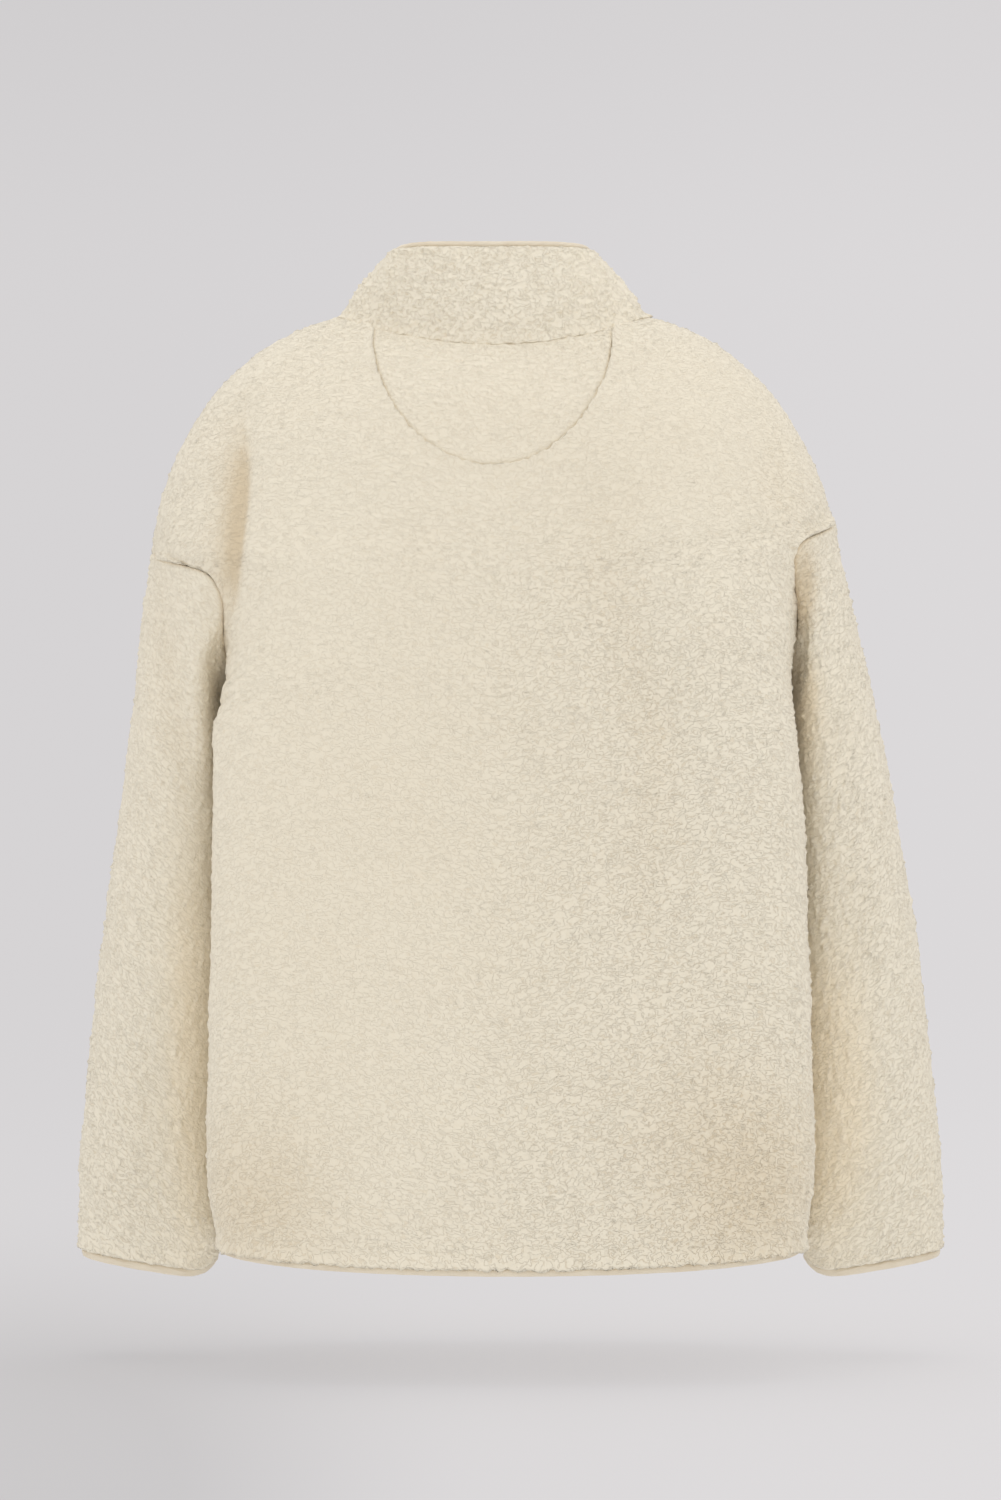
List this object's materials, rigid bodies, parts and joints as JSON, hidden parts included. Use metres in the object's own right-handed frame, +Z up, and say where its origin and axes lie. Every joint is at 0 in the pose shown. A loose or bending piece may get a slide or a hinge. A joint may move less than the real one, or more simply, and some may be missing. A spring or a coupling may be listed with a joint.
{
  "type": "sherpa fleece pullover",
  "caption": "Sherpa fleece half-zip pullover with a stand collar, dropped shoulders, a half-moon set in below the back neck and bound edges, hollow as if worn.",
  "frame": {"origin": "midway between the two high shoulder points, where the wearer's shoulders carry the garment", "axes": "+Z up, the garment's front faces -Y, its back faces +Y, +X towards the wearer's left"},
  "size_m": [0.6353, 0.2816, 0.7538],
  "materials": {
    "sherpa": "deep nubby pile, cream",
    "binding": "smooth matt stretch binding, warm cream",
    "zip_tape": "woven zip tape, cream",
    "zip_teeth": "moulded teeth, cream",
    "zip_metal": "satin nickel"
  },
  "bodies": {
    "garment": {"back": "sherpa", "back_neck": "sherpa", "front": "sherpa", "sleeve_left": "sherpa", "sleeve_right": "sherpa", "collar": "sherpa", "collar_binding": "binding", "cuff_binding_left": "binding", "cuff_binding_right": "binding", "hem_binding": "binding", "zip_tape_left": "zip_tape", "zip_tape_right": "zip_tape", "zip_chain": "zip_teeth", "zip_slider": "zip_metal"},
    "pull": {"zip_pull": "zip_metal"}
  },
  "joints": [
    {"name": "pull_swing", "type": "hinge", "parent": "garment", "child": "pull", "pos_m": [0.0054, -0.0815, -0.0223], "axis": [-1, 0, 0], "range_deg": [0, 150]}
  ]
}
